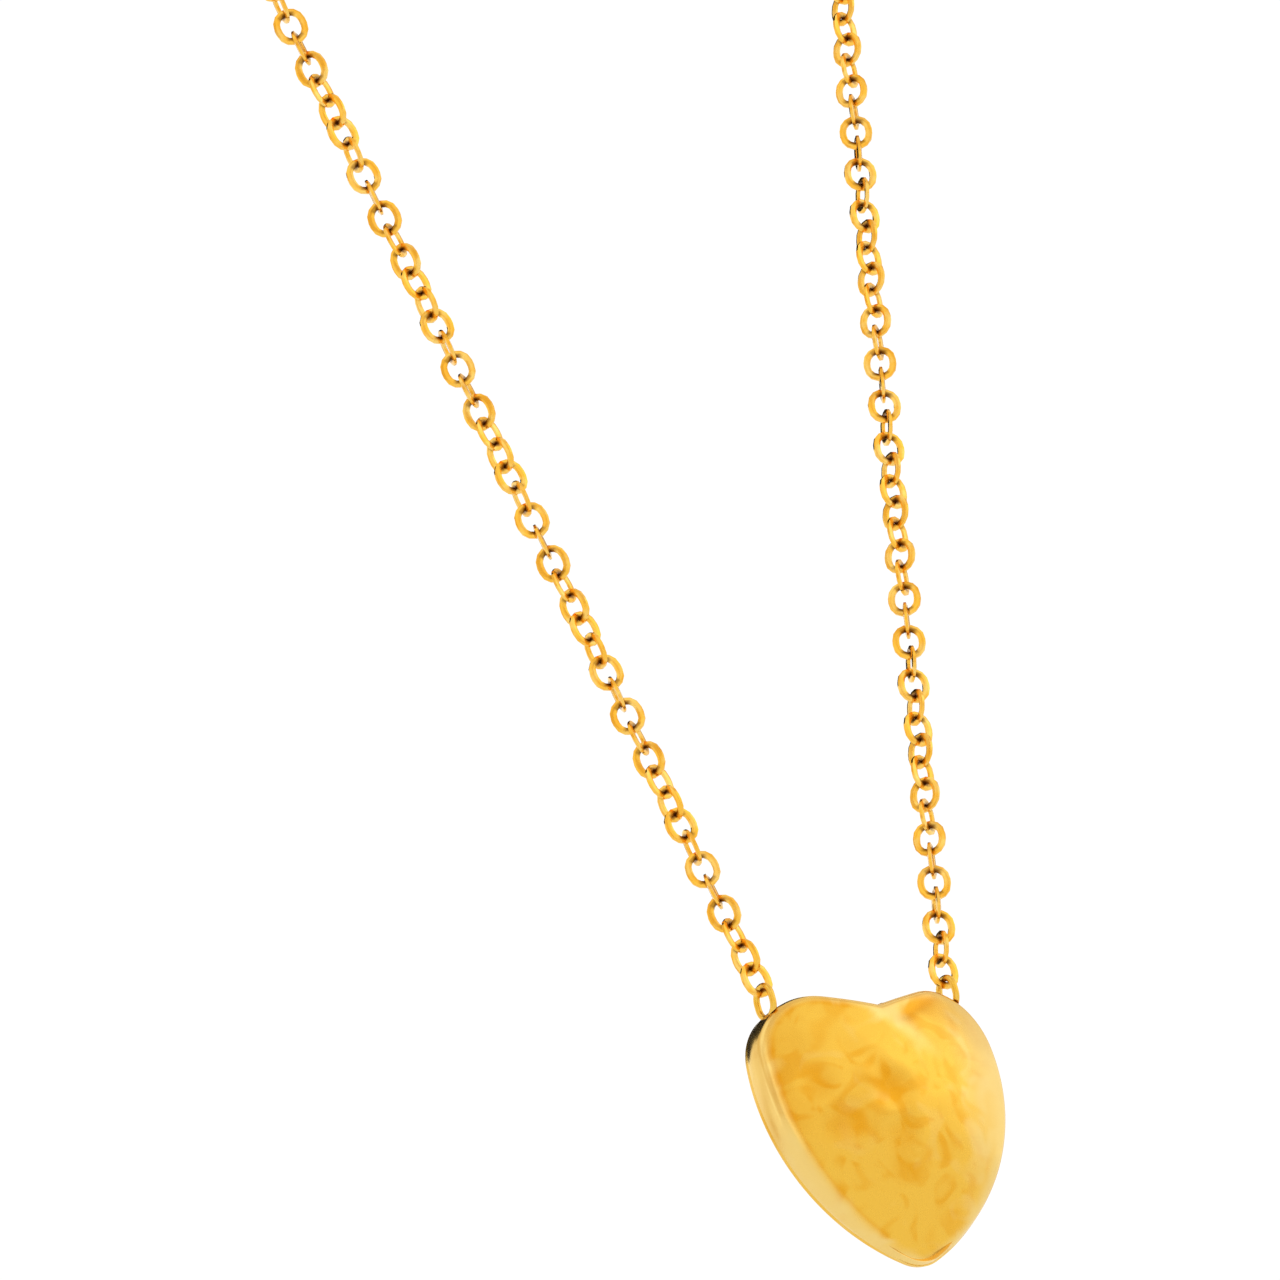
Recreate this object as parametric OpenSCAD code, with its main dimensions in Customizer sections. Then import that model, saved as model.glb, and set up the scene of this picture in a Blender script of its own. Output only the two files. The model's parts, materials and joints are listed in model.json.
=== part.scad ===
// Heart pendant on a fine cable chain with a lobster clasp, hanging from a round neck form.
// Millimetres, +Z up, -Y is the front of the pendant. The origin is the centre of the neck form.

/* [Chain] */
// Distance from one link to the next
pitch = 1.1; // [1.08:0.01:1.12]
// Outer length of a link
link_l = 1.68; // [1.66:0.01:1.70]
// Outer width of a link
link_w = 1.45; // [1.40:0.01:1.50]
// Width of the link wire, in the plane of the link
wire_w = 0.27; // [0.24:0.01:0.27]
// Thickness of the rolled link wire, across the plane of the link
wire_t = 0.20; // [0.16:0.01:0.22]
// Links on each side of the pendant
side_links = 196; // [180:4:210]
// Links in each swinging length of the drop
row_links = 32; // [20:4:32]
// Angle of each strand from the vertical
strand_angle = 12; // [8:1:16]
// Quarter turns that the left side of the chain is twisted by
quarter_turns_left = 25; // [1:2:31]
// Quarter turns that the right side of the chain is twisted by, the other way
quarter_turns_right = 17; // [1:2:31]

/* [Heart] */
// Radius of each lobe
lobe_r = 2.9; // [2.7:0.1:3.1]
// Distance of each lobe's centre from the middle
lobe_x = 3.3; // [3.2:0.05:3.4]
// Height of the lobe centres above the tip
lobe_z = 9.75; // [9.6:0.05:9.9]
// Radius of the long curve down each flank
flank_r = 9.6; // [9.2:0.1:10.4]
// Radius of the rounded tip
tip_r = 1.8; // [1.2:0.1:2.2]
// Slope of the edge into the notch between the lobes
notch_slope = 15; // [10:1:20]
// Depth of the side wall where the heart is widest
rim_d = 1.2; // [1.1:0.05:1.5]
// Radius of the domed face
dome_r = 14.5; // [13:0.5:16]
// Height of the middle of the dome above the tip
dome_z = 8.7; // [8.2:0.1:9]
// Thickness of the stamped sheet
sheet_t = 0.4; // [0.3:0.05:0.45]
// Thickness of the back plate
back_t = 0.3; // [0.25:0.05:0.4]
// Angle at which the heart hangs with its face a little down
hang_tilt = 1.2; // [0:0.1:8]

/* [Eyes] */
// Distance of each eye from the middle of the heart
eye_x = 4.9; // [4.7:0.1:5.1]
// Distance of the eyes behind the widest part of the rim
eye_y = 0.5; // [0.45:0.05:0.7]
// Height of the point where the last link bears on its eye, above the tip
eye_z = 13.3; // [13.2:0.1:13.3]
// Diameter of the eye wire
eye_wire = 0.3; // [0.25:0.01:0.32]

/* [Clasp] */
// Half of the angle round the neck that the clasp takes up
clasp_half_angle = 10.5; // [10:0.5:11]
// Outer diameter of the hook
hook_d = 5.0; // [4.8:0.1:5.2]
// Width of the hook's bar
hook_w = 1.0; // [0.9:0.05:1.1]
// Thickness of the clasp body
clasp_t = 1.7; // [1.6:0.1:2]
// Thickness of the lever
lever_t = 0.6; // [0.5:0.05:0.65]
// Diameter of the lever's pin
pin_d = 0.5; // [0.4:0.05:0.6]
// Gap between the lever and the body
lever_gap = 0.08; // [0.06:0.01:0.1]
// Inner diameter of the small jump ring at the clasp
jump_d = 2.0; // [1.8:0.1:2.2]
// Inner diameter of the end ring that the hook catches
end_d = 3.0; // [2.8:0.1:3.2]
// Diameter of the ring wire
ring_wire = 0.5; // [0.4:0.05:0.6]

/* [Hidden] */
$fn = 64;

gold = "#F0BE46";
pale_gold = "#F4DC8C";
steel = "#B8BCC0";

// Which side a strand is on
LEFT = -1;
RIGHT = 1;

// Running clearances
ring_gap = 0.02;
pin_clear = 0.03;
eps = 0.01;

// The chain's route on each side: straight up from the eye, then round the neck form
arc_angle = 90 + strand_angle - clasp_half_angle;
arc_rad = arc_angle * PI / 180;
straight = (side_links * pitch - eye_x * arc_rad / cos(strand_angle)) / (1 + arc_rad * tan(strand_angle));
neck_r = (eye_x + straight * sin(strand_angle)) / cos(strand_angle);
eye_height = -neck_r * sin(strand_angle) - straight * cos(strand_angle);

// Link ends and sides follow the middle of the wire
link_r = (link_w - wire_w) / 2;
link_side = link_l - link_w;
play = link_l - 2 * wire_w - pitch;

// Lengths of chain, counted up from the pendant
row_1 = row_links;
row_2 = 2 * row_links;
row_3 = 3 * row_links;
neck_links = side_links - row_3;
neck_1 = row_3 + ceil(neck_links / 3);
neck_2 = row_3 + ceil(2 * neck_links / 3);

// The heart turns about the middle of the last link's wire
pendant_axis = eye_height - (play / 2 + wire_w / 2) * cos(strand_angle);
eye_axis_z = eye_z - (play / 2 + wire_w / 2) * cos(strand_angle);

// Each flank curve is tangent to its lobe and to the rounded tip
flank_drop = 0.65;
flank_z = lobe_z - flank_drop;
flank_x = sqrt(pow(flank_r - lobe_r, 2) - pow(flank_drop, 2)) - lobe_x;
tip_z = flank_z - sqrt(pow(flank_r - tip_r, 2) - pow(flank_x, 2));
tip_cut = tip_z - tip_r * (flank_z - tip_z) / (flank_r - tip_r);
lobe_cut = lobe_z + lobe_r * flank_drop / (flank_r - lobe_r);
dome_y = sqrt(pow(dome_r, 2) - pow(lobe_x + lobe_r, 2));
crown = dome_r - dome_y + eps;

// The clasp lies along X between the two ends of the chain
top_z = neck_r * cos(clasp_half_angle);
top_x = neck_r * sin(clasp_half_angle);
hook_hole_r = hook_d / 2 - hook_w;

// The end ring bears on both faces of the hook's bar
end_reach = sqrt(pow(end_d / 2, 2) - pow(clasp_t / 2, 2));
hook_x = top_x - end_d / 2 - end_reach - hook_hole_r + ring_gap;

// Bail: an eye at the end of the shank
bail_hole_d = ring_wire + 0.7;
bail_w = 0.5;
bail_t = 0.9;
bail_reach = sqrt(pow(jump_d / 2, 2) - pow(bail_t / 2, 2));
bail_x = -top_x + jump_d / 2 + bail_reach + bail_hole_d / 2 - ring_gap;

// Shank: narrow at the bail, wide round the pin
shank_w = 3.3;
shank_end_w = 1.7;
shank_end_x = bail_x + 1.4;
shank_front_x = hook_x - hook_hole_r;
pivot_x = hook_x - 2.9;
pivot_z = 0.1;

// Mouth of the hook, below and behind the end of the bar
mouth_x = pivot_x + 1.3;
mouth_z = -0.35;

// Room for the lever and its tab inside the shank
slot_t = lever_t + 0.5;
room_back = 0.9;
room_top = 0.75;
tab_room_back = 1.35;
tab_room_front = 0.25;

// Lever: boss round the pin, arm to the nose, tab on the far side
boss_d = pin_d + 0.7;
nose_r = 3.25;
nose_top = -0.2;
arm_x = 0.9;
arm_z = -0.55;
arm_d = 0.9;
tab_h = 2.3;
tab_lean = 0.4;
tab_root_d = 0.7;
tab_end_d = 0.6;

// Hairpin spring
spring_wire = 0.12;
spring_leg = 0.8;

// ---------- chain ----------

// Flattened wire: a round wire rolled flat on both faces
module wire_section() {
  intersection() {
    circle(d = wire_w, $fn = 24);
    square([wire_w, wire_t], center = true);
  }
}

module link_end() {
  translate([0, link_side / 2, 0])
    rotate_extrude(angle = 180, $fn = 48)
      translate([link_r, 0]) wire_section();
}

module link_straight() {
  translate([link_r, -link_side / 2, 0])
    rotate([-90, 0, 0]) linear_extrude(link_side) wire_section();
}

// One oval link standing along Z, in the XZ plane
module chain_link() {
  rotate([90, 0, 0])
    union() {
      for (turn = [0, 180]) {
        rotate([0, 0, turn]) link_end();
        rotate([0, 0, turn]) link_straight();
      }
    }
}

// Puts its children on the route, a distance s along it from the eye
module on_route(side, s) {
  if (s < straight)
    translate([side * eye_x, 0, eye_height]) rotate([0, side * strand_angle, 0])
      translate([0, 0, s]) children();
  else
    rotate([0, -side * ((s - straight) / neck_r * 180 / PI - strand_angle), 0])
      translate([side * neck_r, 0, 0]) children();
}

// Links first to last - 1; neighbours cross at a right angle, and the chain twists evenly
module chain(side, first, last) {
  twist = (side == LEFT ? quarter_turns_left : -quarter_turns_right) * 90 / side_links;
  for (k = [first : last - 1])
    on_route(side, (k + 0.5) * pitch)
      rotate([0, 0, k * (90 + twist)]) chain_link();
}

module neck_chain_left_top() { color(gold) chain(LEFT, neck_2, side_links); }
module neck_chain_left_middle() { color(gold) chain(LEFT, neck_1, neck_2); }
module neck_chain_left_bottom() { color(gold) chain(LEFT, row_3, neck_1); }
module neck_chain_right_top() { color(gold) chain(RIGHT, neck_2, side_links); }
module neck_chain_right_middle() { color(gold) chain(RIGHT, neck_1, neck_2); }
module neck_chain_right_bottom() { color(gold) chain(RIGHT, row_3, neck_1); }
module upper_drop_left() { color(gold) chain(LEFT, row_2, row_3); }
module upper_drop_right() { color(gold) chain(RIGHT, row_2, row_3); }
module middle_drop_left() { color(gold) chain(LEFT, row_1, row_2); }
module middle_drop_right() { color(gold) chain(RIGHT, row_1, row_2); }
module lower_drop_left() { color(gold) chain(LEFT, 0, row_1); }
module lower_drop_right() { color(gold) chain(RIGHT, 0, row_1); }

// ---------- heart ----------

// Outline of the heart, tip at the bottom, moved in by a sheet thickness where it is hollow
module heart_outline(inset = 0) {
  r_lobe = lobe_r - inset;
  r_flank = flank_r - inset;
  notch_x = lobe_x - r_lobe * sin(notch_slope);
  notch_z = lobe_z + r_lobe * cos(notch_slope);
  union() {
    for (side = [LEFT, RIGHT])
      translate([side * lobe_x, lobe_z]) circle(r = r_lobe);
    polygon([
      [-lobe_x, lobe_z], [lobe_x, lobe_z], [notch_x, notch_z],
      [0, notch_z - notch_x * tan(notch_slope)], [-notch_x, notch_z]
    ]);
    translate([0, tip_z]) circle(r = tip_r - inset);
    intersection() {
      translate([-flank_x, flank_z]) circle(r = r_flank, $fn = 128);
      translate([flank_x, flank_z]) circle(r = r_flank, $fn = 128);
      translate([-flank_r, tip_cut]) square([2 * flank_r, lobe_cut - tip_cut]);
    }
  }
}

// A heart-shaped bar from y = from to y = to
module heart_bar(from, to, inset = 0) {
  translate([0, to, 0]) rotate([90, 0, 0]) linear_extrude(to - from) heart_outline(inset);
}

// The ball whose surface is the domed face, or the inside of the sheet behind it
module dome_ball(inset = 0) {
  translate([0, dome_y, dome_z]) sphere(r = dome_r - inset, $fn = 128);
}

// Puts the heart's own frame, tip at its origin, where it hangs
module hanging() {
  translate([0, 0, pendant_axis]) rotate([hang_tilt, 0, 0])
    translate([0, -eye_y, -eye_axis_z]) children();
}

// Stamped and hammered front, open at the back
module heart_front() {
  color(gold) hanging() difference() {
    intersection() {
      heart_bar(-crown, rim_d);
      dome_ball();
    }
    intersection() {
      heart_bar(-crown, rim_d + eps, sheet_t);
      dome_ball(sheet_t);
    }
  }
}

// Flat plate soldered into the back edge
module heart_back() {
  color(pale_gold) hanging() heart_bar(rim_d, rim_d + back_t);
}

// Wire eye soldered to the shoulder of the heart, open across X
module eye_loop() {
  r_mid = link_r + (eye_wire - wire_w) / 2;
  translate([0, eye_y, eye_z + play / 2 - (link_l / 2 - wire_w)])
    rotate([90, 0, 90]) union() {
      for (turn = [0, 180]) rotate([0, 0, turn]) {
        translate([0, link_side / 2, 0]) rotate_extrude(angle = 180, $fn = 48)
          translate([r_mid, 0]) circle(d = eye_wire, $fn = 24);
        translate([r_mid, -link_side / 2, 0]) rotate([-90, 0, 0])
          cylinder(d = eye_wire, h = link_side, $fn = 24);
      }
    }
}

// The lobe that the eye's legs are soldered to
module shoulder(side) {
  translate([side * lobe_x, 0, lobe_z]) rotate([90, 0, 0])
    cylinder(r = lobe_r, h = 2 * lobe_r, center = true);
}

module eye(side) {
  color(gold) hanging() difference() {
    translate([side * eye_x, 0, 0]) eye_loop();
    shoulder(side);
  }
}

module left_eye() { eye(LEFT); }
module right_eye() { eye(RIGHT); }

// ---------- clasp ----------

module ring(inner_d, x) {
  translate([x, 0, top_z])
    rotate_extrude() translate([(inner_d + ring_wire) / 2, 0]) circle(d = ring_wire, $fn = 32);
}

// Joins the left end of the chain to the clasp's bail
module jump_ring() {
  color(gold) ring(jump_d, -top_x + jump_d / 2);
}

// Caught in the hook, at the right end of the chain
module end_ring() {
  color(gold) ring(end_d, top_x - end_d / 2);
}

// Flat shape, seen from the front, t thick and centred on Y
module flat(t) {
  translate([0, t / 2, top_z]) rotate([90, 0, 0]) linear_extrude(t) children();
}

module disc(x, z, d) {
  translate([x, z]) circle(d = d, $fn = 48);
}

// Rectangle between two corners
module patch(x_from, x_to, z_from, z_to) {
  translate([x_from, z_from]) square([x_to - x_from, z_to - z_from]);
}

module hook_ring() {
  difference() {
    disc(hook_x, 0, hook_d);
    disc(hook_x, 0, 2 * hook_hole_r);
  }
}

// Shank of the clasp, from the bail to the hook
module shank_outline() {
  hull() {
    disc(shank_end_x, 0, shank_end_w);
    disc(pivot_x, pivot_z, shank_w);
    disc(shank_front_x, pivot_z, shank_w);
  }
}

// The hook's hole, and the mouth that the lever's nose closes
module hook_inside() {
  disc(hook_x, 0, 2 * hook_hole_r);
  intersection() {
    disc(pivot_x, pivot_z, 2 * (nose_r + lever_gap));
    patch(mouth_x, hook_x + hook_d / 2, -hook_d, mouth_z);
  }
}

// Space in the shank in which the lever and its spring turn
module lever_room() {
  patch(pivot_x - room_back, shank_front_x + hook_w / 2, -hook_d, room_top);
  patch(pivot_x - tab_room_back, pivot_x + tab_room_front, 0, hook_d);
}

// Cast body: hook, shank and bail in one
module clasp_body() {
  color(gold) difference() {
    union() {
      flat(clasp_t) difference() {
        union() {
          shank_outline();
          hook_ring();
        }
        hook_inside();
      }
      flat(bail_t) hull() {
        disc(bail_x, 0, bail_hole_d + 2 * bail_w);
        disc(shank_end_x, 0, shank_end_w);
      }
    }
    flat(clasp_t + 2 * eps) disc(bail_x, 0, bail_hole_d);
    flat(slot_t) lever_room();
    pin_rod(clasp_t + 2 * eps);
  }
}

module pin_rod(length) {
  translate([pivot_x, 0, top_z + pivot_z]) rotate([90, 0, 0])
    cylinder(d = pin_d, h = length, center = true);
}

// Lever: its nose closes the mouth, and the tab on the far side of the pin opens it
module clasp_lever() {
  color(gold) flat(lever_t) difference() {
    union() {
      hull() {
        disc(pivot_x, pivot_z, boss_d);
        disc(pivot_x + arm_x, pivot_z + arm_z, arm_d);
      }
      intersection() {
        hook_ring();
        disc(pivot_x, pivot_z, 2 * nose_r);
        patch(pivot_x, hook_x + hook_d / 2, -hook_d, nose_top);
      }
      hull() {
        disc(pivot_x, pivot_z, tab_root_d);
        disc(pivot_x - tab_lean, pivot_z + tab_h, tab_end_d);
      }
    }
    disc(pivot_x, pivot_z, pin_d + 2 * pin_clear);
  }
}

// Riveted through the cheeks of the shank
module clasp_pin() {
  color(pale_gold) pin_rod(clasp_t);
}

// Hairpin spring over the pin, beside the lever, with both legs in the shank
module clasp_spring() {
  bend_r = pin_d / 2 + spring_wire;
  color(steel) translate([pivot_x, (lever_t + slot_t) / 4, top_z + pivot_z]) rotate([90, 0, 0])
    union() {
      rotate_extrude(angle = 180) translate([bend_r, 0]) circle(d = spring_wire, $fn = 16);
      for (side = [LEFT, RIGHT])
        translate([side * bend_r, 0, 0]) rotate([90, 0, 0])
          cylinder(d = spring_wire, h = spring_leg, $fn = 16);
    }
}

neck_chain_left_top();
neck_chain_left_middle();
neck_chain_left_bottom();
neck_chain_right_top();
neck_chain_right_middle();
neck_chain_right_bottom();
upper_drop_left();
upper_drop_right();
middle_drop_left();
middle_drop_right();
lower_drop_left();
lower_drop_right();
left_eye();
right_eye();
heart_front();
heart_back();
jump_ring();
clasp_body();
clasp_lever();
clasp_pin();
clasp_spring();
end_ring();
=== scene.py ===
"""Finished pieces, metals and studio for a hammered heart pendant on a fine cable chain."""

import json
import math
import random

import bpy
from mathutils import Matrix, Vector
from mathutils.kdtree import KDTree


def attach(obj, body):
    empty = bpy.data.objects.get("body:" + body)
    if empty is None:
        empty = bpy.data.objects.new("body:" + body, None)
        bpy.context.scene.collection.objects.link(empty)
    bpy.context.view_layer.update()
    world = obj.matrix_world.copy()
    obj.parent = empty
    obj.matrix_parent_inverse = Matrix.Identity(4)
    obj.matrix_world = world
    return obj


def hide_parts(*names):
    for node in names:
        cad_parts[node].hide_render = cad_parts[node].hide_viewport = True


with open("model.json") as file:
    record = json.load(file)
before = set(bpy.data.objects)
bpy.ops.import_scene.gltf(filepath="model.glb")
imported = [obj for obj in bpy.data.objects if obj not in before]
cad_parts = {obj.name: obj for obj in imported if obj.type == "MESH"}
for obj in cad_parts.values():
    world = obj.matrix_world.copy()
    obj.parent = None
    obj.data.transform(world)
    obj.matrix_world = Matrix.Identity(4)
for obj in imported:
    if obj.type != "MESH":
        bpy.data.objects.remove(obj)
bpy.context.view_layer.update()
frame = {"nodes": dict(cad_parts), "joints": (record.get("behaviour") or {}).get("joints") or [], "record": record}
MM = 0.001

LEFT, RIGHT = -1, 1

# Chain, in millimetres: from link to link, a link's length and width, and its wire
PITCH = 1.1
LINK_L = 1.68
LINK_W = 1.45
WIRE_W = 0.27
WIRE_T = 0.20
WIRE_SPREAD = 1.34
LINK_END_STEPS = 7
# How far past the neighbour's wire the painted shade where links meet fades out
CONTACT_SHADE_FADE = 0.32
SIDE_LINKS = 196
ROW_LINKS = 32
STRAND_ANGLE = math.radians(12)
CLASP_HALF_ANGLE = math.radians(10.5)
# Quarter turns that each side twists by along its length
QUARTER_TURNS = {LEFT: 25, RIGHT: -17}

# Heart, in millimetres, in its own frame: the lobes' tops up, the front towards -y
LOBE_R = 2.9
LOBE_X = 3.3
LOBE_Z = 9.75
FLANK_R = 9.6
FLANK_DROP = 0.65
TIP_R = 1.8
NOTCH_SLOPE = math.radians(15)
RIM_D = 1.2
BACK_T = 0.3
DOME_R = 14.5
DOME_Z = 8.7
SHEET_T = 0.4
HANG_TILT = math.radians(1.2)
EYE_X = 4.9
EYE_Y = 0.5
EYE_Z = 13.3

# Steps along each stretch of the heart's outline
NOTCH_STEPS = 14
LOBE_STEPS = 50
FLANK_STEPS = 50
TIP_STEPS = 14

# Rings of faces: over the rounded ridge, and inside it
RIDGE_R = 0.3
RIDGE_STEPS = 6
FACE_RINGS = 40
# Points on each edge of the rim from which the distance is taken
RIM_SPLITS = 6

# Side wall, and how near its foot the face may come
WALL_ROWS = 6
WALL_FULLNESS = 0.0035
LEAST_WALL = 0.02
LEAST_WALL_BLEND = 0.3

# Back plate: its rounded edge, and the rings that close it
EDGE_R = 0.15
EDGE_STEPS = 4
PLATE_RINGS = [0.8, 0.6, 0.4, 0.2, 0.05]

# Deep hammer marks: x, z, radius and depth
DEEP_MARKS = (
    (-0.8, 7.8, 1.5, 0.1), (-4.3, 8.4, 1.2, 0.07), (-3.2, 6.4, 1.4, 0.08),
    (-0.7, 5.6, 1.2, 0.08), (-0.8, 4.1, 1.1, 0.06), (-2.3, 9.6, 1.1, 0.04),
)
DEEPEST = 0.12

# Shallow hammer marks: rows that start at a height, every other one shifted, each mark a little astray
MARK_ROWS = range(-1, 9)
MARK_COLUMNS = range(-5, 6)
COLUMN_STEP = 1.45
COLUMN_SHIFT = 0.7
ROW_STEP = 1.4
ROW_START = 0.6
ASTRAY = 0.4
MARK_RADII = (0.9, 1.5)
MARK_DEPTHS = (0.01, 0.035)
# How far in from the rim the hammering has its full depth
FULL_WORK_IN = 1.2

# The fold: start, end and width of its valley and its crest, and how far they go in and out
VALLEY = ((4.6, 13.1), (0.0, 10.8), 0.4)
CREST = ((-1.2, 12.7), (2.5, 8.8), 0.6)
VALLEY_DEPTH = 0.12
CREST_RISE = 0.055
FOLD_FADE = 0.8

# Where painted shade and painted highlight go on the gold: a line of painted shade beside the ridge on the left,
# and painted highlight along the edge and over the right side
RIDGE_SHADE = 0.42
RIDGE_SHADE_W = 0.13
RIDGE_SHADE_FROM = 0.8
HIGHLIGHT_EDGE = 0.4
HIGHLIGHT_SIDE_FROM = 2.2
HIGHLIGHT_SIDE_W = 3.2

# Clasp: how far tumbling rounds its edges
BODY_ROUNDING = 0.12
LEVER_ROUNDING = 0.08

# Worked out from the sizes above
HEART_HALF = LOBE_X + LOBE_R
LINK_R = (LINK_W - WIRE_W) / 2
LINK_SIDE = LINK_L - LINK_W
PLAY = LINK_L - 2 * WIRE_W - PITCH
BEARING = (PLAY + WIRE_W) / 2 * math.cos(STRAND_ANGLE)
ARC = math.radians(90) + STRAND_ANGLE - CLASP_HALF_ANGLE
STRAIGHT = (SIDE_LINKS * PITCH - EYE_X * ARC / math.cos(STRAND_ANGLE)) / (1 + ARC * math.tan(STRAND_ANGLE))
NECK_R = (EYE_X + STRAIGHT * math.sin(STRAND_ANGLE)) / math.cos(STRAND_ANGLE)
FLANK_Z = LOBE_Z - FLANK_DROP
FLANK_X = math.sqrt((FLANK_R - LOBE_R) ** 2 - FLANK_DROP ** 2) - LOBE_X
TIP_Z = FLANK_Z - math.sqrt((FLANK_R - TIP_R) ** 2 - FLANK_X ** 2)
DOME_Y = math.sqrt(DOME_R ** 2 - (LOBE_X + LOBE_R) ** 2)
HEART_MIDDLE = Vector((0, 0, 7.4))

# Places nearer than this are taken as the same, in millimetres
SLACK = 0.001

joint_at = {joint["name"]: Vector(joint["pos_m"]) / MM for joint in frame["joints"]}
body_of_node = {
    node: body for body, nodes in frame["record"]["behaviour"]["bodies"].items() for node in nodes
}
PENDANT_AXIS = joint_at["pendant_swing"].z
EYE_HEIGHT = PENDANT_AXIS + BEARING
HANGING = (
    Matrix.Translation((0, 0, PENDANT_AXIS))
    @ Matrix.Rotation(HANG_TILT, 4, "X")
    @ Matrix.Translation((0, -EYE_Y, BEARING - EYE_Z))
)
TO_METRES = Matrix.Scale(MM, 4)


# ---------- making pieces by hand ----------

def start_piece(name, add, **settings):
    """Adds a primitive on its own and opens it in edit mode."""
    bpy.ops.object.select_all(action="DESELECT")
    add(**settings)
    piece = bpy.context.object
    piece.name = name
    bpy.ops.object.mode_set(mode="EDIT")
    bpy.ops.mesh.select_mode(type="VERT")
    return piece


def select_only(piece):
    bpy.ops.object.select_all(action="DESELECT")
    piece.select_set(True)
    bpy.context.view_layer.objects.active = piece


def end_piece(piece, place=None, smooth=35):
    """Leaves edit mode, puts the piece's place into its mesh, in metres, and smooths it up to an angle."""
    bpy.ops.object.mode_set(mode="OBJECT")
    piece.data.transform(TO_METRES @ (place or Matrix.Identity(4)) @ piece.matrix_world)
    piece.matrix_world = Matrix.Identity(4)
    select_only(piece)
    bpy.ops.object.shade_smooth_by_angle(angle=math.radians(smooth))
    return piece


def clean_up(threshold=0.001):
    """Merges doubles and turns every face outwards."""
    bpy.ops.mesh.select_all(action="SELECT")
    bpy.ops.mesh.remove_doubles(threshold=threshold)
    bpy.ops.mesh.normals_make_consistent(inside=False)


def select_points(piece, wanted):
    """Selects the points whose place passes a test."""
    bpy.ops.mesh.select_mode(type="VERT")
    bpy.ops.mesh.select_all(action="DESELECT")
    bpy.ops.object.mode_set(mode="OBJECT")
    for point in piece.data.vertices:
        point.select = wanted(piece.matrix_world @ point.co)
    bpy.ops.object.mode_set(mode="EDIT")


def apply_modifier(piece, kind, **settings):
    """Adds a modifier with its settings and applies it."""
    modifier = piece.modifiers.new(kind.title(), kind)
    for name, value in settings.items():
        setattr(modifier, name, value)
    bpy.context.view_layer.objects.active = piece
    bpy.ops.object.modifier_apply(modifier=modifier.name)


def pull(x=0.0, y=0.0, z=0.0):
    """Extrudes what is selected and moves the new part."""
    bpy.ops.mesh.extrude_region_move(TRANSFORM_OT_translate={"value": (x, y, z)})


# ---------- chain ----------

def bend_wire(name, wire_w, wire_t, mid_r, end_steps):
    """Six-sided wire, wider than it is thick, bent into an oval that stands along Z in the XZ plane.

    Known fault: the circle's first point lies on its Y axis, so the wire comes out about 16 percent
    larger each way than wire_w and wire_t, and neighbouring links cross.
    """
    bottom, top = -LINK_SIDE / 2, LINK_SIDE / 2
    start = (mid_r, 0, bottom)
    loop = start_piece(name, bpy.ops.mesh.primitive_circle_add, vertices=6, radius=wire_w / 2, location=start)
    select_points(loop, lambda at: abs(at.y) > SLACK)
    bpy.ops.transform.resize(value=(WIRE_SPREAD, 1, 1), center_override=start)
    bpy.ops.mesh.select_all(action="SELECT")
    flattening = wire_t / (wire_w * math.sin(math.radians(60)))
    bpy.ops.transform.resize(value=(1, flattening, 1), center_override=start)
    pull(z=LINK_SIDE)
    bpy.ops.mesh.spin(steps=end_steps, angle=math.pi, center=(0, 0, top), axis=(0, 1, 0))
    pull(z=-LINK_SIDE)
    bpy.ops.mesh.spin(steps=end_steps, angle=math.pi, center=(0, 0, bottom), axis=(0, 1, 0))
    clean_up()
    return loop


def mark_bearings(link):
    """Notes on each point how near it is to where the neighbouring links bear on it, for the painted shade between
    links.
    """
    contact_shade = link.data.attributes.new("contact_shade", "FLOAT", "POINT")
    for point, mark in zip(link.data.vertices, contact_shade.data):
        from_end = LINK_L / 2 - abs(point.co.z) / MM
        past_side = max(0, abs(point.co.z) / MM - LINK_SIDE / 2)
        inside = LINK_R + WIRE_W / 2 - math.hypot(point.co.x / MM, past_side)
        near_end = max(0.0, 1 - max(0.0, from_end - WIRE_W) / CONTACT_SHADE_FADE)
        mark.value = near_end * min(1.0, max(0.0, inside / WIRE_W))


def model_link():
    """One link, with the painted shade where its neighbours meet it marked."""
    link = end_piece(bend_wire("link", WIRE_W, WIRE_T, LINK_R, LINK_END_STEPS), smooth=52)
    mark_bearings(link)
    return link


def on_route(side, s):
    """Place on the chain's route, s along it from the eye: a straight strand, then round the neck."""
    if s < STRAIGHT:
        return (
            Matrix.Translation((side * EYE_X, 0, EYE_HEIGHT))
            @ Matrix.Rotation(side * STRAND_ANGLE, 4, "Y")
            @ Matrix.Translation((0, 0, s))
        )
    turned = (s - STRAIGHT) / NECK_R - STRAND_ANGLE
    return Matrix.Rotation(-side * turned, 4, "Y") @ Matrix.Translation((side * NECK_R, 0, 0))


def link_place(side, k):
    """Place of link k, a quarter turn and a little twist on from the one before, in metres."""
    twist = QUARTER_TURNS[side] * math.radians(90) / SIDE_LINKS
    turn = Matrix.Rotation(k * (math.radians(90) + twist), 4, "Z")
    return TO_METRES @ on_route(side, (k + 0.5) * PITCH) @ turn @ TO_METRES.inverted()


def lay_chain(link, node, side, first, last, metal):
    """Copies the link along one length of chain and joins the copies into one piece."""
    bpy.ops.object.select_all(action="DESELECT")
    for k in range(first, last):
        copy = bpy.data.objects.new(f"links_{node}", link.data.copy())
        copy.data.transform(link_place(side, k))
        bpy.context.collection.objects.link(copy)
        copy.select_set(True)
        bpy.context.view_layer.objects.active = copy
    bpy.ops.object.join()
    finish_piece(bpy.context.object, metal, "chain_gold", node)


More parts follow.
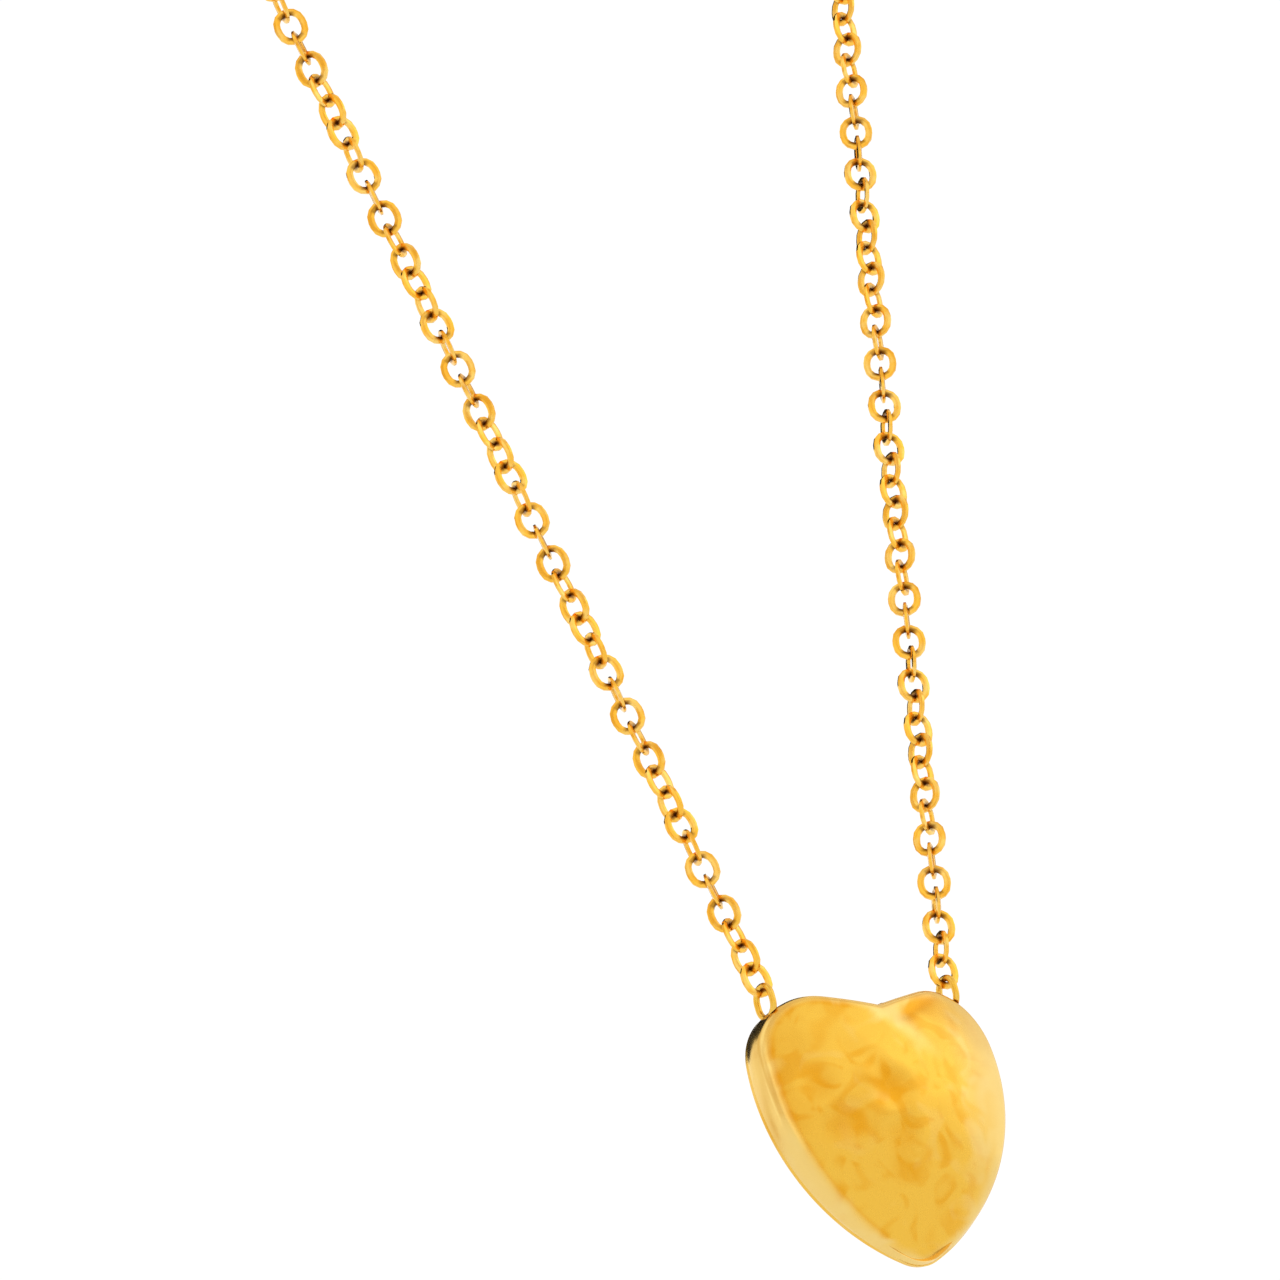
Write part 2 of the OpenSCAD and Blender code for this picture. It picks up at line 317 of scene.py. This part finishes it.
def lay_all_chain(metal):
    """Both sides of the chain, a piece for each CAD node: three lengths of drop and three round the neck."""
    row_3 = 3 * ROW_LINKS
    neck = SIDE_LINKS - row_3
    stops = [0, ROW_LINKS, 2 * ROW_LINKS, row_3]
    stops += [row_3 + math.ceil(neck / 3), row_3 + math.ceil(2 * neck / 3), SIDE_LINKS]
    lengths = [
        "lower_drop_{}", "middle_drop_{}", "upper_drop_{}",
        "neck_chain_{}_bottom", "neck_chain_{}_middle", "neck_chain_{}_top",
    ]
    link = model_link()
    for side, word in ((LEFT, "left"), (RIGHT, "right")):
        for length, first, last in zip(lengths, stops, stops[1:]):
            lay_chain(link, length.format(word), side, first, last, metal)
    bpy.data.objects.remove(link)


# ---------- heart ----------

def spin_to(steps, angle, x, z):
    """Carries the outline on round an arc about a centre."""
    bpy.ops.mesh.spin(steps=steps, angle=angle, center=(x, 0, z), axis=(0, 1, 0))


def draw_outline(name, depth):
    """The heart's outline as a closed wire at y = depth, left open in edit mode and selected."""
    notch_x = LOBE_X - LOBE_R * math.sin(NOTCH_SLOPE)
    notch_z = LOBE_Z + LOBE_R * math.cos(NOTCH_SLOPE)
    dip = notch_x * math.tan(NOTCH_SLOPE)
    outline = start_piece(name, bpy.ops.mesh.primitive_plane_add, size=1, location=(0, depth, notch_z - dip))
    bpy.ops.mesh.merge(type="CENTER")
    for _ in range(NOTCH_STEPS):
        pull(x=-notch_x / NOTCH_STEPS, z=dip / NOTCH_STEPS)
    lobe_end = math.atan2(FLANK_DROP, LOBE_X + FLANK_X)
    flank_end = math.atan2(FLANK_Z - TIP_Z, FLANK_X)
    spin_to(LOBE_STEPS, math.radians(90) + NOTCH_SLOPE - lobe_end, -LOBE_X, LOBE_Z)
    spin_to(FLANK_STEPS, flank_end + lobe_end, FLANK_X, FLANK_Z)
    spin_to(TIP_STEPS, math.radians(90) - flank_end, 0, TIP_Z)
    bpy.ops.mesh.select_all(action="SELECT")
    bpy.ops.mesh.duplicate()
    bpy.ops.transform.resize(value=(-1, 1, 1), center_override=(0, depth, 0))
    bpy.ops.mesh.select_all(action="SELECT")
    bpy.ops.mesh.remove_doubles(threshold=0.01)
    return outline


def draw_in(shares):
    """Extrudes the selected loop towards the middle of the heart, ring by ring, and closes it."""
    last = 1
    for share in shares:
        bpy.ops.mesh.extrude_edges_move()
        bpy.ops.transform.resize(value=(share / last, 1, share / last), center_override=HEART_MIDDLE)
        last = share
    bpy.ops.mesh.merge(type="CENTER")
    clean_up()


def ring_shares():
    """How much smaller than the outline each ring of faces is: close together over the ridge, then even."""
    shares = [
        1 - RIDGE_R / HEART_HALF * (1 - math.cos(math.radians(90) * step / RIDGE_STEPS))
        for step in range(1, RIDGE_STEPS + 1)
    ]
    inner = shares[-1]
    return shares + [inner * ring / FACE_RINGS for ring in range(FACE_RINGS - 1, 0, -1)]


def hammer_marks(seed=7):
    """The few deep hammer marks, and shallow ones overlapping all over: place, radius and depth of each."""
    draw = random.Random(seed)
    marks = list(DEEP_MARKS)
    for row in MARK_ROWS:
        for column in MARK_COLUMNS:
            x = column * COLUMN_STEP + (row % 2) * COLUMN_SHIFT + draw.uniform(-ASTRAY, ASTRAY)
            z = row * ROW_STEP + ROW_START + draw.uniform(-ASTRAY, ASTRAY)
            marks.append((x, z, draw.uniform(*MARK_RADII), draw.uniform(*MARK_DEPTHS)))
    return marks


def pressed_in(x, z, marks):
    """How deep the hammer marks are at a point: a soft-edged bowl for each."""
    depth = 0.0
    for mark_x, mark_z, radius, mark_depth in marks:
        near = 1 - ((x - mark_x) ** 2 + (z - mark_z) ** 2) / radius ** 2
        if near > 0:
            depth += mark_depth * near * near
    return depth


def beside_line(x, z, start, end, width):
    """How near a point is to a line that fades out at both ends."""
    run_x, run_z = end[0] - start[0], end[1] - start[1]
    length = math.hypot(run_x, run_z)
    along = ((x - start[0]) * run_x + (z - start[1]) * run_z) / length ** 2
    across = ((x - start[0]) * run_z - (z - start[1]) * run_x) / length
    if not 0 < along < 1:
        return 0.0
    return math.sin(math.pi * along) ** FOLD_FADE * math.exp(-((across / width) ** 2))


def fold(x, z):
    """The fold below the right eye: a valley in from the shoulder, and a crest down from the notch."""
    return beside_line(x, z, *VALLEY), beside_line(x, z, *CREST)


def rim_tree(heart):
    """The points along the open edge, ready to be searched for the nearest."""
    uses = {}
    for face in heart.data.polygons:
        for edge in face.edge_keys:
            uses[edge] = uses.get(edge, 0) + 1
    ends = [[heart.data.vertices[i].co for i in edge] for edge, count in uses.items() if count == 1]
    tree = KDTree(len(ends) * RIM_SPLITS)
    for number, (start, end) in enumerate(ends):
        for split in range(RIM_SPLITS):
            tree.insert(start.lerp(end, split / RIM_SPLITS), number * RIM_SPLITS + split)
    tree.balance()
    return tree


def soft_least(a, b, reach):
    """The lesser of two numbers, blended where they are nearly the same."""
    near = max(0.0, reach - abs(a - b)) / reach
    return min(a, b) - near * near * reach / 4


def hammer_face(heart):
    """Domes the flat rings, rounds the ridge and hammers it, and notes on each point its painted shade and painted
    highlight.
    """
    marks = hammer_marks()
    rim = rim_tree(heart)
    painted_shade = heart.data.attributes.new("painted_shade", "FLOAT", "POINT")
    painted_highlight = heart.data.attributes.new("painted_highlight", "FLOAT", "POINT")
    for point, shade_value, highlight_value in zip(heart.data.vertices, painted_shade.data, painted_highlight.data):
        x, z = point.co.x, point.co.z
        from_rim = rim.find(Vector((x, 0, z)))[2]
        dome = DOME_Y - math.sqrt(DOME_R ** 2 - x ** 2 - (z - DOME_Z) ** 2)
        over_ridge = max(0.0, RIDGE_R - from_rim)
        ridge = RIDGE_R - math.sqrt(RIDGE_R ** 2 - over_ridge ** 2)
        inside = min(1.0, from_rim / FULL_WORK_IN)
        hammered = pressed_in(x, z, marks)
        valley, crest = fold(x, z)
        worked = (hammered + VALLEY_DEPTH * valley - CREST_RISE * crest) * inside
        point.co.y = soft_least(dome + ridge + worked, RIM_D - LEAST_WALL, LEAST_WALL_BLEND)
        on_left = min(1.0, max(0.0, -x - RIDGE_SHADE_FROM))
        ridge_shade = math.exp(-(((from_rim - RIDGE_SHADE) / RIDGE_SHADE_W) ** 2)) * on_left
        # Painted shade: deeper gold in the hammer marks, along the fold's valley and in a line beside the ridge on
        # the left
        shade_value.value = hammered / DEEPEST + 1.3 * valley + 0.7 * ridge_shade
        # Painted highlight: paler gold on the fold's crest, along the edge and over the right side
        highlight_side = max(0.0, (x - HIGHLIGHT_SIDE_FROM) / HIGHLIGHT_SIDE_W)
        highlight_value.value = 0.8 * crest + math.exp(-((from_rim / HIGHLIGHT_EDGE) ** 2)) + highlight_side


def raise_wall():
    """Draws the side wall back from the open edge, a little full in the middle."""
    bpy.ops.mesh.select_mode(type="EDGE")
    bpy.ops.mesh.select_all(action="DESELECT")
    bpy.ops.mesh.select_non_manifold(
        extend=False, use_boundary=True, use_wire=False,
        use_multi_face=False, use_non_contiguous=False, use_verts=False)
    for row in range(WALL_ROWS, 0, -1):
        bpy.ops.mesh.extrude_edges_move()
        share = (row - 1) / row
        fullness = 1 + WALL_FULLNESS * math.cos(math.pi * (WALL_ROWS - row + 0.5) / WALL_ROWS)
        bpy.ops.transform.resize(
            value=(fullness, share, fullness), center_override=(0, RIM_D, HEART_MIDDLE.z))
    bpy.ops.mesh.select_all(action="SELECT")
    bpy.ops.mesh.normals_make_consistent(inside=False)


def model_heart_front():
    """Stamped sheet: rings of faces drawn in from the outline, hammered, then a side wall and a thickness."""
    heart = draw_outline("hammered_heart", 0)
    draw_in(ring_shares())
    bpy.ops.object.mode_set(mode="OBJECT")
    bpy.ops.object.transform_apply(location=True, rotation=True, scale=True)
    hammer_face(heart)
    bpy.ops.object.mode_set(mode="EDIT")
    raise_wall()
    bpy.ops.object.mode_set(mode="OBJECT")
    apply_modifier(heart, "SOLIDIFY", thickness=SHEET_T, offset=-1)
    for point in heart.data.vertices:
        point.co.y = min(point.co.y, RIM_D)
    return end_piece(heart, HANGING, smooth=50)


def model_heart_back():
    """Flat plate with its back edge rounded over."""
    plate = draw_outline("back_plate", RIM_D)
    bpy.ops.mesh.select_mode(type="EDGE")
    bpy.ops.mesh.edge_face_add()
    bpy.ops.mesh.extrude_edges_move(TRANSFORM_OT_translate={"value": (0, BACK_T - EDGE_R, 0)})
    last_in, last_out = 1.0, 0.0
    for step in range(1, EDGE_STEPS + 1):
        turned = math.radians(90) * step / EDGE_STEPS
        inwards, outwards = 1 - EDGE_R / HEART_HALF * (1 - math.cos(turned)), EDGE_R * math.sin(turned)
        bpy.ops.mesh.extrude_edges_move(TRANSFORM_OT_translate={"value": (0, outwards - last_out, 0)})
        bpy.ops.transform.resize(
            value=(inwards / last_in, 1, inwards / last_in), center_override=HEART_MIDDLE)
        last_in, last_out = inwards, outwards
    draw_in(PLATE_RINGS)
    return end_piece(plate, HANGING, smooth=40)


def tumble(name, rounding):
    """A copy of a cast fitting with its edges rounded over, as tumbling leaves them."""
    node = frame["nodes"][name]
    cast = bpy.data.objects.new(f"tumbled_{name}", node.data.copy())
    bpy.context.collection.objects.link(cast)
    select_only(cast)
    bpy.ops.object.mode_set(mode="EDIT")
    clean_up(threshold=1e-7)
    bpy.ops.mesh.dissolve_limited(angle_limit=math.radians(4))
    bpy.ops.object.mode_set(mode="OBJECT")
    apply_modifier(
        cast, "BEVEL", width=rounding * MM, segments=3, limit_method="ANGLE",
        angle_limit=math.radians(35), use_clamp_overlap=True)
    bpy.ops.object.shade_smooth_by_angle(angle=math.radians(35))
    return cast


# ---------- metals ----------

class Value:
    """A number that varies over a surface. Sums on it add Math nodes."""

    def __init__(self, metal, socket):
        self.metal, self.socket = metal, socket

    def math(self, operation, a, b):
        node = self.metal.node("ShaderNodeMath", {"operation": operation}, {0: a, 1: b})
        return Value(self.metal, node.outputs[0])

    def __add__(self, other):
        return self.math("ADD", self, other)

    def __sub__(self, other):
        return self.math("SUBTRACT", self, other)

    def __rsub__(self, other):
        return self.math("SUBTRACT", other, self)

    def __mul__(self, other):
        return self.math("MULTIPLY", self, other)

    __radd__ = __add__
    __rmul__ = __mul__


class Nodes:
    """A node tree, and the one way in which nodes are added to it."""

    def __init__(self, tree):
        self.tree = tree

    def node(self, kind, settings=None, inputs=None):
        node = self.tree.nodes.new(kind)
        for name, value in (settings or {}).items():
            setattr(node, name, value)
        for name, value in (inputs or {}).items():
            self.feed(node.inputs[name], value)
        return node

    def feed(self, socket, value):
        value = getattr(value, "socket", value)
        if isinstance(value, bpy.types.NodeSocket):
            self.tree.links.new(value, socket)
        else:
            socket.default_value = value


class Metal(Nodes):
    """One metal finish and its nodes."""

    def __init__(self, name, **sockets):
        self.material = bpy.data.materials.new(name)
        self.material.use_nodes = True
        super().__init__(self.material.node_tree)
        self.shader = self.tree.nodes["Principled BSDF"]
        self.set(Metallic=1.0, **sockets)
        self.place = self.node("ShaderNodeTexCoord").outputs["Object"]

    def set(self, **sockets):
        """Gives the shader's sockets their values; an underscore stands for a space."""
        for name, value in sockets.items():
            self.feed(self.shader.inputs[name.replace("_", " ")], value)

    def noise(self, size_mm, detail=2.0, distortion=0.0, stretch=(1, 1, 1)):
        """Soft noise with features of about that size."""
        place = self.node("ShaderNodeMapping", {}, {"Vector": self.place, "Scale": stretch}).outputs[0]
        inputs = {"Vector": place, "Scale": 1 / (size_mm * MM), "Detail": detail, "Distortion": distortion}
        return Value(self, self.node("ShaderNodeTexNoise", {}, inputs).outputs[0])

    def attribute(self, name):
        return Value(self, self.node("ShaderNodeAttribute", {"attribute_name": name}).outputs["Fac"])

    def between(self, value, low, high, to_low=0.0, to_high=1.0):
        """Turns low to high into to_low to to_high, softly and no further."""
        inputs = {"Value": value, "From Min": low, "From Max": high, "To Min": to_low, "To Max": to_high}
        node = self.node("ShaderNodeMapRange", {"interpolation_type": "SMOOTHSTEP"}, inputs)
        return Value(self, node.outputs[0])

    def mix(self, share, first, second):
        return self.node("ShaderNodeMix", {"data_type": "RGBA"}, {0: share, 6: first, 7: second}).outputs[2]

    def bump(self, height, depth_mm, strength=1.0):
        inputs = {"Height": height, "Distance": depth_mm * MM, "Strength": strength}
        return self.node("ShaderNodeBump", {}, inputs)


def colour(code):
    """A colour written as a web code, as the shader's linear numbers."""
    parts = [int(code[i:i + 2], 16) / 255 for i in (0, 2, 4)]
    return (*[p / 12.92 if p <= 0.04045 else ((p + 0.055) / 1.055) ** 2.4 for p in parts], 1)


RICH_GOLD = colour("EEBD44")
# Deeper gold: painted shade on the plate, mixed with random drifting patches
DEEP_GOLD = colour("E6A41A")
# Paler gold: painted highlight on the plate mixed with random swirls, and random cloudiness on the fittings
PALE_GOLD = colour("F0D284")
WIRE_PALE = colour("FBE08E")
# Painted shade where the links meet
SHADED_GOLD = colour("5C2600")
WIRE_GOLD = colour("F9BE42")
STEEL = colour("B4B8BC")
DARK_STEEL = colour("8C9096")


def hammered_gold():
    """Polished, hammered plate: painted shade deeper in the marks, the fold's valley and beside the ridge, painted
    highlight paler on the edges, the crest and the right side, with soft drifting patches.
    """
    metal = Metal("hammered_gold", Coat_Weight=0.2, Coat_Roughness=0.15)
    drift = metal.between(metal.noise(1.8, 0.8, 1.8), 0.42, 0.68)
    # Painted shade from the point attribute, deepening the gold, mixed with random drifting patches
    shade_and_drift = metal.between(metal.attribute("painted_shade") * 0.8 + drift * 0.5, 0.1, 1.1)
    swirl = metal.between(metal.noise(2.0, 0.6, 1.6), 0.45, 0.75)
    # Painted highlight from the point attribute, paling the gold, mixed with random swirls
    highlight_and_swirl = metal.between(metal.attribute("painted_highlight") * 0.85 + swirl * 0.35, 0.1, 1.0)
    base = metal.mix(shade_and_drift, RICH_GOLD, DEEP_GOLD)
    metal.set(Base_Color=metal.mix(highlight_and_swirl * 0.8, base, PALE_GOLD))
    haze = metal.between(metal.noise(0.5, 3.0), 0.3, 0.7, 0.24, 0.32)
    metal.set(Roughness=haze - highlight_and_swirl * 0.08)
    grain = metal.noise(0.12, 4.0) + metal.noise(0.9, 2.0, 0.8) * 2
    metal.set(Normal=metal.bump(grain, 0.003, 0.5).outputs[0])
    return metal.material


def chain_gold():
    """Rolled and plated wire: bright flats, with painted shade where the links bear on each other."""
    metal = Metal("chain_gold", Coat_Roughness=0.1)
    # Painted shade where the neighbouring links meet, darkening the wire
    contact_shade = metal.between(metal.attribute("contact_shade"), 0.25, 0.8)
    patchy = metal.between(metal.noise(0.7, 2.0), 0.4, 0.7)
    base = metal.mix(patchy * 0.5, WIRE_GOLD, WIRE_PALE)
    metal.set(Coat_Weight=0.15 - contact_shade * 0.15)
    metal.set(Base_Color=metal.mix(contact_shade * 0.92, base, SHADED_GOLD))
    metal.set(Roughness=metal.between(metal.noise(0.25, 3.0), 0.3, 0.7, 0.1, 0.2) + contact_shade * 0.15)
    metal.set(Normal=metal.bump(metal.noise(0.08, 3.0), 0.002, 0.5).outputs[0])
    return metal.material


def plain_gold():
    """Cast and tumbled fittings, with faint drawn lines."""
    metal = Metal("plain_gold", Coat_Weight=0.15, Coat_Roughness=0.12)
    cloudy = metal.between(metal.noise(1.8, 1.5, 0.6), 0.25, 0.85)
    metal.set(Base_Color=metal.mix(cloudy * 0.4, RICH_GOLD, PALE_GOLD))
    drawn = metal.noise(0.35, 3.0, 0.0, (1, 1, 8))
    metal.set(Roughness=metal.between(drawn, 0.3, 0.7, 0.18, 0.32))
    metal.set(Normal=metal.bump(drawn, 0.003, 0.5).outputs[0])
    return metal.material


def spring_steel():
    """Drawn spring wire, with fine lines."""
    metal = Metal("spring_steel")
    drawn = metal.noise(0.1, 3.0, 0.0, (1, 6, 1))
    metal.set(Base_Color=metal.mix(drawn * 0.4, STEEL, DARK_STEEL))
    metal.set(Roughness=metal.between(drawn, 0.3, 0.7, 0.25, 0.4))
    return metal.material


def finish_piece(piece, metal, slot, *nodes):
    """Gives a new piece its metal, stands it for its CAD nodes and hangs it on their body."""
    piece.data.materials.clear()
    piece.data.materials.append(metal)
    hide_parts(*nodes)
    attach(piece, body_of_node[nodes[0]])


def finish_node(name, metal):
    """Gives a CAD node its metal."""
    node = frame["nodes"][name]
    node.data.materials.clear()
    node.data.materials.append(metal)


# ---------- studio ----------

def set_camera():
    """A long lens below and to the left of the pendant, looking up and turned on its side a little."""
    azimuth, elevation, roll = math.radians(-36.53), math.radians(-20.69), math.radians(-16.2)
    distance, view_width, sensor_width = 588.0, 56.662, 36
    aim = Vector((-5.94, 0, PENDANT_AXIS + 17.3))
    back = Vector((
        math.sin(azimuth) * math.cos(elevation),
        -math.cos(azimuth) * math.cos(elevation),
        math.sin(elevation),
    ))
    level = Vector((math.cos(azimuth), math.sin(azimuth), 0))
    upright = back.cross(level)
    right = level * math.cos(roll) + upright * math.sin(roll)
    up = upright * math.cos(roll) - level * math.sin(roll)
    data = bpy.data.cameras.new("camera")
    data.sensor_width = sensor_width
    data.lens = distance * sensor_width / view_width
    data.clip_start, data.clip_end = 0.01, 20
    camera = bpy.data.objects.new("camera", data)
    bpy.context.collection.objects.link(camera)
    turn = Matrix((right, up, back)).transposed().to_4x4()
    camera.matrix_world = Matrix.Translation((aim + back * distance) * MM) @ turn
    bpy.context.scene.camera = camera


def set_world():
    """White all round for the eye, with soft bright and grey areas for the metal to reflect."""
    world = bpy.data.worlds.new("studio")
    world.use_nodes = True
    bpy.context.scene.world = world
    sky = Nodes(world.node_tree)
    sky.tree.nodes.clear()
    place = sky.node("ShaderNodeTexCoord").outputs["Generated"]
    cloud = sky.node("ShaderNodeTexNoise", {}, {"Vector": place, "Scale": 1.6, "Detail": 1.0}).outputs[0]
    inputs = {"Value": cloud, "From Min": 0.35, "From Max": 0.6}
    spread = sky.node("ShaderNodeMapRange", {}, inputs).outputs[0]
    warm, white = (0.86, 0.7, 0.46, 1), (1.14, 1.12, 1.06, 1)
    tint = sky.node("ShaderNodeMix", {"data_type": "RGBA"}, {0: spread, 6: warm, 7: white}).outputs[2]
    soft = sky.node("ShaderNodeBackground", {}, {"Color": tint}).outputs[0]
    plain = sky.node("ShaderNodeBackground", {}, {"Color": (1, 1, 1, 1), "Strength": 1.05}).outputs[0]
    glossy = sky.node("ShaderNodeLightPath").outputs["Is Glossy Ray"]
    both = sky.node("ShaderNodeMixShader", {}, {0: glossy, 1: plain, 2: soft}).outputs[0]
    sky.node("ShaderNodeOutputWorld", {}, {"Surface": both})


def facing_pendant(direction, distance):
    """A place in that direction from the pendant, turned to face it, in metres."""
    way = Vector(direction).normalized()
    target = Vector((0, 0, PENDANT_AXIS)) * MM
    return Matrix.Translation(target + way * distance) @ way.to_track_quat("Z", "Y").to_matrix().to_4x4()


def add_softbox(name, direction, distance, size, power):
    """A large soft light in that direction from the pendant, facing it."""
    data = bpy.data.lights.new(name, "AREA")
    data.shape, data.size, data.energy = "DISK", size, power
    lamp = bpy.data.objects.new(name, data)
    bpy.context.collection.objects.link(lamp)
    lamp.matrix_world = facing_pendant(direction, distance)
    lamp.visible_camera = False


def matt(name, code):
    """A plain matt material for what stands round the necklace."""
    material = bpy.data.materials.new(name)
    material.use_nodes = True
    shader = material.node_tree.nodes["Principled BSDF"]
    shader.inputs["Base Color"].default_value = colour(code)
    shader.inputs["Roughness"].default_value = 0.9
    return material


def add_card(name, direction, distance, size, code):
    """A flat card that the metal reflects, out of the camera's sight."""
    bpy.ops.object.select_all(action="DESELECT")
    bpy.ops.mesh.primitive_plane_add(size=1)
    card = bpy.context.object
    card.name = name
    card.matrix_world = facing_pendant(direction, distance) @ Matrix.Diagonal((*size, 1, 1))
    card.data.materials.append(matt(name, code))
    card.visible_camera = False


def add_floor():
    """A wide pale floor, far below the necklace."""
    bpy.ops.object.select_all(action="DESELECT")
    bpy.ops.mesh.primitive_plane_add(size=60, location=(0, 0, -1.4))
    floor = bpy.context.object
    floor.name = "floor"
    floor.data.materials.append(matt("floor", "FAF9F7"))


def set_studio():
    """World, lights, card and floor."""
    set_world()
    add_softbox("key", (0.75, -0.6, 0.45), 0.9, 0.6, 0.22)
    add_softbox("fill", (-0.5, -0.85, 0.1), 1.0, 0.7, 0.2)
    add_card("dark_card", (0.08, 0.63, 0.77), 0.5, (0.45, 0.42), "0C0603")
    add_floor()
    bpy.context.scene.view_settings.view_transform = "Standard"


# ---------- the necklace ----------

set_camera()
set_studio()
hammered, chain_metal, plain_metal, steel = hammered_gold(), chain_gold(), plain_gold(), spring_steel()
lay_all_chain(chain_metal)
finish_piece(model_heart_front(), hammered, "hammered_gold", "heart_front")
finish_piece(model_heart_back(), plain_metal, "plain_gold", "heart_back")
finish_piece(tumble("clasp_body", BODY_ROUNDING), plain_metal, "plain_gold", "clasp_body")
finish_piece(tumble("clasp_lever", LEVER_ROUNDING), plain_metal, "plain_gold", "clasp_lever")
for name in ("left_eye", "right_eye", "jump_ring", "end_ring", "clasp_pin"):
    finish_node(name, plain_metal)
finish_node("clasp_spring", steel)
